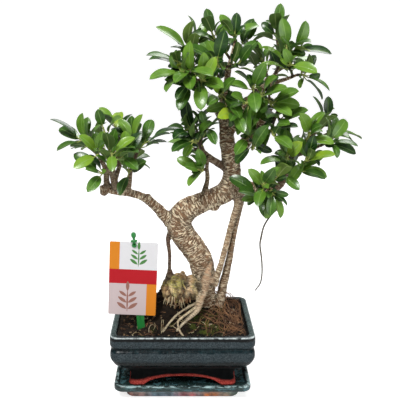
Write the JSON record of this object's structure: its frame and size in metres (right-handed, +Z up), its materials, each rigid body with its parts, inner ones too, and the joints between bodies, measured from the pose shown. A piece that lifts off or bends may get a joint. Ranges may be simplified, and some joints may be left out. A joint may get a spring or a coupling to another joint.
{
  "type": "chinese banyan bonsai",
  "caption": "Chinese banyan bonsai in informal upright style: bent trunk with aerial roots and leafy branches, in a rectangular glazed bowl on its saucer, with a blank label.",
  "frame": {"origin": "centre of the saucer's foot, on the surface it stands on", "axes": "+Z up, -Y the front of the tree, +X to the right as seen from the front"},
  "size_m": [0.427, 0.1863, 0.5386],
  "materials": {
    "saucer_glaze": "glossy dark teal glaze with blue, green and red drips",
    "bowl_glaze": "dark blue-green glaze, speckled and semi-matt on the bands, glossy in the grooves",
    "mesh_plastic": "matt black",
    "compost": "rough dark brown compost with fine roots",
    "label_card": "coated card, satin",
    "stake_plastic": "green plastic, satin",
    "bark": "tan-brown bark with pale cross marks, matt",
    "leaf": "glossy dark green leaves on yellow-green stalks"
  },
  "bodies": {
    "root": {"saucer": "saucer_glaze", "bowl": "bowl_glaze", "drain_mesh": "mesh_plastic", "compost": "compost", "label_card": "label_card", "label_stake": "stake_plastic", "trunk_and_roots": "bark", "spray_01": "leaf", "spray_02": "leaf", "spray_03": "leaf", "spray_04": "leaf", "spray_05": "leaf", "spray_06": "leaf", "spray_07": "leaf", "spray_08": "leaf", "spray_09": "leaf", "spray_10": "leaf", "spray_11": "leaf", "spray_12": "leaf", "spray_13": "leaf", "spray_14": "leaf", "spray_15": "leaf", "spray_16": "leaf", "spray_17": "leaf", "spray_18": "leaf", "spray_19": "leaf", "spray_20": "leaf", "spray_21": "leaf", "spray_22": "leaf", "spray_23": "leaf", "spray_24": "leaf", "spray_25": "leaf", "spray_26": "leaf", "spray_27": "leaf", "spray_28": "leaf", "spray_29": "leaf", "spray_30": "leaf", "spray_31": "leaf", "spray_32": "leaf", "spray_33": "leaf", "spray_34": "leaf", "spray_35": "leaf", "spray_36": "leaf", "spray_37": "leaf", "spray_38": "leaf", "spray_39": "leaf", "spray_40": "leaf", "spray_41": "leaf", "spray_42": "leaf", "spray_43": "leaf", "spray_44": "leaf", "spray_45": "leaf", "spray_46": "leaf", "spray_47": "leaf", "spray_48": "leaf", "spray_49": "leaf", "spray_50": "leaf", "spray_51": "leaf", "spray_52": "leaf", "spray_53": "leaf"}
  },
  "joints": []
}
